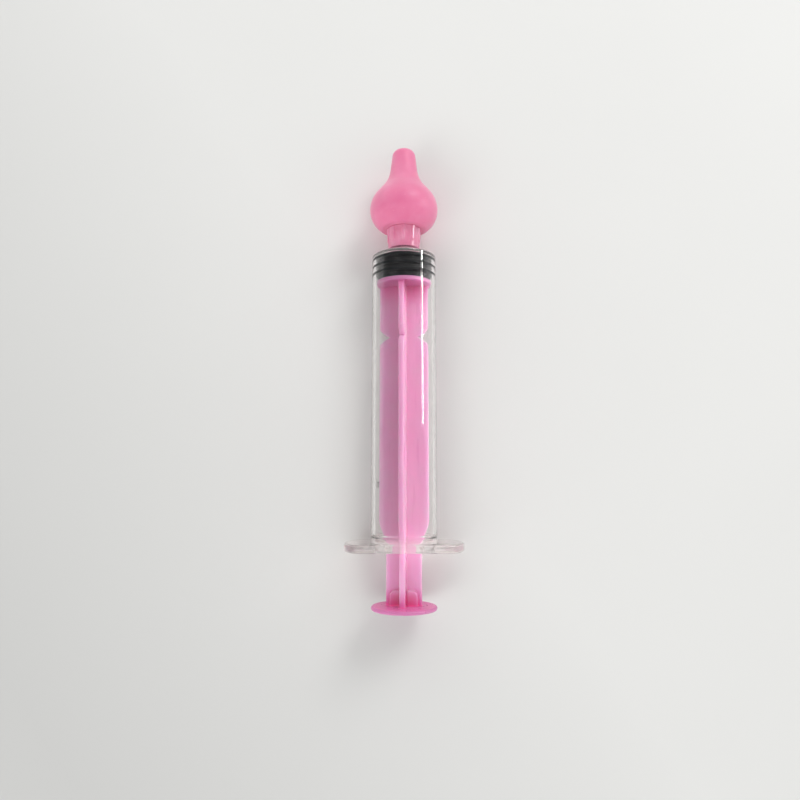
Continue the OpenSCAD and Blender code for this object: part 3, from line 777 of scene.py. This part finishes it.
def hubGrid():
    # the collar's radius grows evenly from mouth to top, plus a rib height that is a soft-edged
    # bar in the angle and rises over a short stretch above the plain band
    size = hubSize
    angle = np.linspace(0, 2 * math.pi, size["columns"], endpoint=False)
    pitch = 2 * math.pi / size["ribs"]
    fromRib = (angle - math.radians(90 + size["turn"]) + pitch / 2) % pitch - pitch / 2
    off = np.abs(fromRib) * size["topRadius"]
    rib = size["ribHeight"] * smoothStep(((size["ribWidth"] + size["ribSoft"]) / 2 - off) / size["ribSoft"])
    slope = (size["topRadius"] - size["mouthRadius"]) / size["length"]
    top = size["mouth"] + size["length"]

    def collar(along, ribShare, inset=0.0):
        return size["mouthRadius"] + slope * along + rib * ribShare - inset

    quarter = np.radians(np.linspace(0, 90, 6))
    edge, topEdge = size["mouthEdge"], size["topEdge"]
    rows = [(collar(0, 0, edge * (1 - math.sin(a))), size["mouth"] + edge * (1 - math.cos(a)))
            for a in quarter]
    rows.append((collar(size["band"] - 0.12, 0), size["mouth"] + size["band"] - 0.12))
    for t in np.linspace(0, 1, 12):
        along = size["band"] - 0.05 + size["ribFade"] * t
        rows.append((collar(along, float(smoothStep(t))), size["mouth"] + along))
    straight = np.linspace(size["band"] + size["ribFade"] + 0.15, size["length"] - 0.2, 6)
    rows += [(collar(along, 1), size["mouth"] + along) for along in straight]
    rows += [(collar(size["length"], 1, topEdge * (1 - math.cos(a))), top - topEdge * (1 - math.sin(a)))
             for a in quarter]
    skirt = size["mouthRadius"] - size["skirtWall"]
    socketOut = size["socketRadius"] + size["socketWall"]
    chamfer, snapEnd = size["snapChamfer"], size["snapAt"] + size["snapLength"]
    rest = roundedLine([
        (3.9, top, 0), (size["stemRadius"], top, 0.2), (size["stemRadius"], size["snapAt"], 0.1),
        (size["snapRadius"], size["snapAt"], 0.1), (size["snapRadius"], snapEnd - chamfer, 0.1),
        (size["stemRadius"], snapEnd, 0.1), (size["stemRadius"], size["stemTop"] - chamfer, 0.1),
        (size["stemRadius"] - chamfer, size["stemTop"], 0.1),
        (size["channelRadius"], size["stemTop"], 0.1), (size["channelRadius"], size["socketEnd"], 0.1),
        (size["socketEndRadius"], size["socketEnd"], 0.1), (size["socketRadius"], size["socketMouth"], 0.15),
        (socketOut, size["socketMouth"], 0.15), (socketOut, top - size["web"], 0.15),
        (skirt, top - size["web"], 0.15), (skirt, size["mouth"], 0.12), (skirt + 0.3, size["mouth"], 0)])
    rows += [(np.full_like(angle, r), s) for r, s in rest]
    radius = np.array([r for r, s in rows])
    station = np.array([[s] for r, s in rows])
    return inFrame(radius * np.cos(angle), station, radius * np.sin(angle))


hub = meshFromGrid("ribbedHub", hubGrid(), hubPlastic(), wrapped=True)
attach(hub, "hub")
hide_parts("nozzle_hub")
print("hub made:", len(hub.data.polygons), "faces")


# Silicone tip: a hollow bulb that runs into a neck, both turned from one closed profile.
tipSize = {
    "columns": 256, "base": stationOf(tipLow.y), "end": stationOf(tipHigh.y),
    "bulbRadius": 9.15, "bulbMiddle": 5.4, "lowRadius": 6.2, "highRadius": 7.3,
    "shoulder": 40.0, "throatRadius": 9.3, "neck": 7.0,  # the two slopes are degrees from the axis
    "endRadius": 2.95, "endRound": 1.9, "baseRound": 1.5,
    "wall": 1.8, "lip": 1.6, "lipHole": 3.10, "outlet": 1.2,
}


def tipLine():
    # outside: base round, curve below the widest ring, curve above it, straight shoulder, hollow
    # throat and straight neck, each touching the next. The hollow inside is the same set in
    size = tipSize
    length = size["end"] - size["base"]
    lean, neck = math.radians(size["shoulder"]), math.radians(size["neck"])
    middle = size["base"] + size["bulbMiddle"]
    highX = size["bulbRadius"] - size["highRadius"]
    drop = (highX + size["highRadius"] * math.cos(lean)
            - size["throatRadius"] * (math.cos(neck) - math.cos(lean)) - size["endRadius"])
    climb = (length - size["bulbMiddle"] - size["highRadius"] * math.sin(lean)
             - size["throatRadius"] * (math.sin(lean) - math.sin(neck)))
    straight = (drop * math.cos(neck) - climb * math.sin(neck)) / math.sin(lean - neck)
    both = size["highRadius"] + size["throatRadius"]
    throatX = highX + both * math.cos(lean) - straight * math.sin(lean)
    throatAt = middle + both * math.sin(lean) + straight * math.cos(lean)

    def side(inset, fromAngle):
        return np.concatenate([
            arcLine(size["bulbRadius"] - size["lowRadius"], middle, size["lowRadius"] - inset,
                    -fromAngle, 0, 14),
            arcLine(highX, middle, size["highRadius"] - inset, 0, size["shoulder"], 14)[1:],
            arcLine(throatX, throatAt, size["throatRadius"] + inset,
                    180 + size["shoulder"], 180 + size["neck"], 16)])

    def lowAngle(height, inset):
        # where the lower curve is at that height above the base
        return math.degrees(math.asin((size["bulbMiddle"] - height) / (size["lowRadius"] - inset)))

    foot = size["baseRound"]
    baseAngle = lowAngle(foot, foot)
    lowX = size["bulbRadius"] - size["lowRadius"]
    baseX = lowX + (size["lowRadius"] - foot) * math.cos(math.radians(baseAngle))
    endX = size["endRadius"] - size["endRound"] / math.cos(neck) + size["endRound"] * math.tan(neck)
    inner = side(size["wall"], lowAngle(size["lip"], size["wall"]))[::-1]
    roofRadius, roofAt = inner[0]
    outletStart = roofAt + roofRadius - size["outlet"]
    tail = roundedLine([(endX, size["end"], 0), (size["outlet"], size["end"], 0.0),
                        (size["outlet"], outletStart, 0.15), (roofRadius, roofAt, 0)])
    lip = roundedLine([(*inner[-1], 0), (size["lipHole"], size["base"] + size["lip"], 0.2),
                       (size["lipHole"], size["base"], 0.25), (baseX, size["base"], 0)])
    return np.concatenate([
        arcLine(baseX, size["base"] + foot, foot, -90, -baseAngle, 8)[1:-1], side(0, baseAngle),
        arcLine(endX, size["end"] - size["endRound"], size["endRound"], size["neck"], 90, 14)[:-1],
        tail[:-1], inner[:-1], lip])


tip = meshFromGrid("siliconeTip", turnedGrid(tipLine(), tipSize["columns"]), tipSilicone(), wrapped=True)
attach(tip, "tip")
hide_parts("silicone_tip")
print("tip made:", len(tip.data.polygons), "faces")


# Floor, light and camera.
studio = {
    "floorHalf": 1.6, "floorColour": (0.80, 0.80, 0.785), "floorRoughness": 0.75, "floorGap": 0.00002,
    "fadeSlant": (1, 0.7, 0), "fadeFrom": 0.0, "fadeTo": -0.16, "fadedShare": 0.78, "paleShare": 1.03,
    "worldColour": (1.0, 1.0, 0.995), "dim": 0.08, "open": 1.02, "lean": -0.06,
    "bandMiddle": 0.2, "bandHalf": 0.12, "bandSoft": 0.4, "low": 0.8, "lowHeight": 0.3,
    "keyPlace": (0.40, 0.56, 0.52), "keyPower": 2.4, "fillPlace": (-0.42, -0.42, 0.50), "fillPower": 0.95,
    "softSize": (0.34, 0.34), "streakSize": (0.17, 0.016),
    "streakPlace": (0.38, 0.106, 0.16), "streakAim": (0, 0.02, 0.01), "streakPower": 0.55,
    "cameraAcross": -1.05, "cameraAlong": 16.76, "cameraAbove": 172.1,
    "cameraTilt": 7.25, "cameraLens": 29.76, "cameraSensor": 36, "cameraClip": 0.005,
}


def floorMaterial():
    # painted shade: the colour darkens along a slanting line, standing in for the light falling off across
    # the table
    material, shader = startMaterial("paleFloor", studio["floorColour"], studio["floorRoughness"])
    nodes, links = material.node_tree.nodes, material.node_tree.links
    place = nodes.new("ShaderNodeTexCoord")
    slant = nodes.new("ShaderNodeVectorMath")
    slant.operation = "DOT_PRODUCT"
    slant.inputs[1].default_value = studio["fadeSlant"]
    links.new(place.outputs["Object"], slant.inputs[0])
    fade = remapped(material, slant.outputs["Value"], studio["fadeTo"], studio["fadeFrom"], 1, 0)
    cloud = noiseOn(material, 60, 2)
    pale = tuple(studio["paleShare"] * c for c in studio["floorColour"])
    faded = tuple(studio["fadedShare"] * c for c in studio["floorColour"])
    tone = mixedColour(material, cloud, studio["floorColour"], pale)
    # painted shade: towards one side the floor's colour is mixed into a darker copy of itself
    links.new(mixedColour(material, fade, tone, faded), shader.inputs["Base Color"])
    return material


def floorSheet():
    # a flat grid: x and y evenly spaced, at the lowest point of the object
    low = cadBox[0].z - studio["floorGap"]
    line = np.linspace(-studio["floorHalf"], studio["floorHalf"], 9)
    x, y = np.meshgrid(line, line)
    index = np.arange(x.size).reshape(x.shape)
    quads = np.stack([index[:-1, :-1], index[:-1, 1:], index[1:, 1:], index[1:, :-1]], -1).reshape(-1, 4)
    mesh = bpy.data.meshes.new("floor")
    mesh.from_pydata(np.stack([x, y, np.full_like(x, low)], -1).reshape(-1, 3).tolist(), [], quads.tolist())
    mesh.materials.append(floorMaterial())
    floor = bpy.data.objects.new("floor", mesh)
    bpy.context.scene.collection.objects.link(floor)


def areaLight(name, place, aim, spread, power, hideFrom):
    # a rectangle that faces aim, given in metres, and isn't seen by the kinds of ray in hideFrom
    light = bpy.data.lights.new(name, "AREA")
    light.shape, light.size, light.size_y = "RECTANGLE", *spread
    light.energy = power
    holder = bpy.data.objects.new(name, light)
    holder.location = place
    holder.rotation_euler = (Vector(place) - Vector(aim)).to_track_quat("Z", "Y").to_euler()
    for rays in hideFrom:
        setattr(holder, "visible_" + rays, False)
    bpy.context.scene.collection.objects.link(holder)


def studioWorld():
    # brightness = (dim + open * g(y)) * (1 + x * lean), with g rising from 0 to 1 as y moves away
    # from the middle of a dim band that crosses overhead: the light comes from the two ends
    world = bpy.data.worlds.new("softStudio")
    world.use_nodes = True
    nodes, links = world.node_tree.nodes, world.node_tree.links
    background = nodes["Background"]
    background.inputs["Color"].default_value = (*studio["worldColour"], 1)
    place = nodes.new("ShaderNodeTexCoord")
    split = nodes.new("ShaderNodeSeparateXYZ")
    links.new(place.outputs["Generated"], split.inputs["Vector"])

    def ranged(source, low, high, toLow, toHigh):
        # goes from toLow to toHigh in a smooth step while the source goes from low to high
        node = nodes.new("ShaderNodeMapRange")
        node.interpolation_type = "SMOOTHSTEP"
        for socket, value in zip(("From Min", "From Max", "To Min", "To Max"), (low, high, toLow, toHigh)):
            node.inputs[socket].default_value = value
        links.new(source, node.inputs["Value"])
        return node.outputs["Result"]

    def combined(how, first, second):
        node = nodes.new("ShaderNodeMath")
        node.operation = how
        for socket, value in zip(node.inputs, (first, second)):
            if isinstance(value, (int, float)):
                socket.default_value = value
            else:
                links.new(value, socket)
        return node.outputs["Value"]

    away = combined("ABSOLUTE", combined("SUBTRACT", split.outputs["Y"], studio["bandMiddle"]), 0.0)
    ends = ranged(away, studio["bandHalf"], studio["bandHalf"] + studio["bandSoft"],
                  studio["dim"], studio["dim"] + studio["open"])
    low = ranged(split.outputs["Z"], 0, studio["lowHeight"], studio["low"], 0)
    lean = ranged(split.outputs["X"], -1, 1, 1 - studio["lean"], 1 + studio["lean"])
    links.new(combined("MULTIPLY", combined("ADD", ends, low), lean), background.inputs["Strength"])
    world.cycles.sampling_method = "NONE"
    bpy.context.scene.world = world


def studioLight():
    # two soft panels at the dim band's two sides, and a narrow one for the bright line on the tube
    areaLight("keyLight", studio["keyPlace"], (0, 0, 0), studio["softSize"], studio["keyPower"],
              ("transmission",))
    areaLight("fillLight", studio["fillPlace"], (0, 0, 0), studio["softSize"], studio["fillPower"],
              ("transmission", "glossy"))
    areaLight("streakLight", studio["streakPlace"], studio["streakAim"], studio["streakSize"],
              studio["streakPower"], ("diffuse",))


def studioCamera():
    # looks down on the syringe, tilted a little towards the nozzle
    lens = bpy.data.cameras.new("camera")
    lens.lens, lens.sensor_width = studio["cameraLens"], studio["cameraSensor"]
    lens.clip_start = studio["cameraClip"]
    camera = bpy.data.objects.new("camera", lens)
    camera.location = inFrame(studio["cameraAcross"], studio["cameraAlong"], studio["cameraAbove"])
    camera.rotation_euler = (math.radians(studio["cameraTilt"]), 0, 0)
    bpy.context.scene.collection.objects.link(camera)
    bpy.context.scene.camera = camera


floorSheet()
studioWorld()
studioLight()
studioCamera()
bpy.context.scene.view_settings.view_transform = "Standard"
print("floor, light and camera set")
